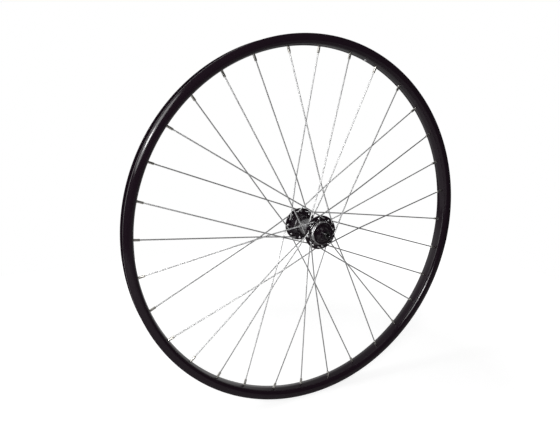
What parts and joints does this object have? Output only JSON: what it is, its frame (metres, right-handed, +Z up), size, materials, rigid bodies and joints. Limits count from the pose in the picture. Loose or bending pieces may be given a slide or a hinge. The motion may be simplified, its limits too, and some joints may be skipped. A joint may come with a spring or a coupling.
{
  "type": "bicycle wheel",
  "caption": "Bare bicycle front wheel: black single-wall rim, steel spokes laced in crossing pairs to a black flanged hub that turns on sealed bearings about a hollow axle.",
  "frame": {"origin": "centre of the wheel, on the axle midway between the two fork faces", "axes": "+Y along the axle towards the wheel's left side, +Z up, +X towards the front"},
  "size_m": [0.5719, 0.108, 0.572],
  "materials": {
    "rim_black": "satin",
    "hub_black": "gloss",
    "axle_black": "satin",
    "spoke_steel": "drawn",
    "nipple_silver": "nickel plated",
    "bearing_steel": "ground",
    "seal_rubber": "matte"
  },
  "bodies": {
    "axle_set": {"axle": "axle_black", "right_bearing_inner_ring": "bearing_steel", "right_end_cap": "hub_black", "left_bearing_inner_ring": "bearing_steel", "left_end_cap": "hub_black"},
    "wheel": {"rim": "rim_black", "hub_shell": "hub_black", "nipples": "nipple_silver", "spoke_01": "spoke_steel", "spoke_02": "spoke_steel", "spoke_03": "spoke_steel", "spoke_04": "spoke_steel", "spoke_05": "spoke_steel", "spoke_06": "spoke_steel", "spoke_07": "spoke_steel", "spoke_08": "spoke_steel", "spoke_09": "spoke_steel", "spoke_10": "spoke_steel", "spoke_11": "spoke_steel", "spoke_12": "spoke_steel", "spoke_13": "spoke_steel", "spoke_14": "spoke_steel", "spoke_15": "spoke_steel", "spoke_16": "spoke_steel", "spoke_17": "spoke_steel", "spoke_18": "spoke_steel", "spoke_19": "spoke_steel", "spoke_20": "spoke_steel", "spoke_21": "spoke_steel", "spoke_22": "spoke_steel", "spoke_23": "spoke_steel", "spoke_24": "spoke_steel", "spoke_25": "spoke_steel", "spoke_26": "spoke_steel", "spoke_27": "spoke_steel", "spoke_28": "spoke_steel", "spoke_29": "spoke_steel", "spoke_30": "spoke_steel", "spoke_31": "spoke_steel", "spoke_32": "spoke_steel", "right_bearing_outer_ring": "bearing_steel", "right_bearing_seals": "seal_rubber", "left_bearing_outer_ring": "bearing_steel", "left_bearing_seals": "seal_rubber"}
  },
  "joints": [
    {"name": "wheel_spin", "type": "hinge", "parent": "axle_set", "child": "wheel", "pos_m": [0, 0, 0], "axis": [0, 1, 0], "continuous": true}
  ]
}
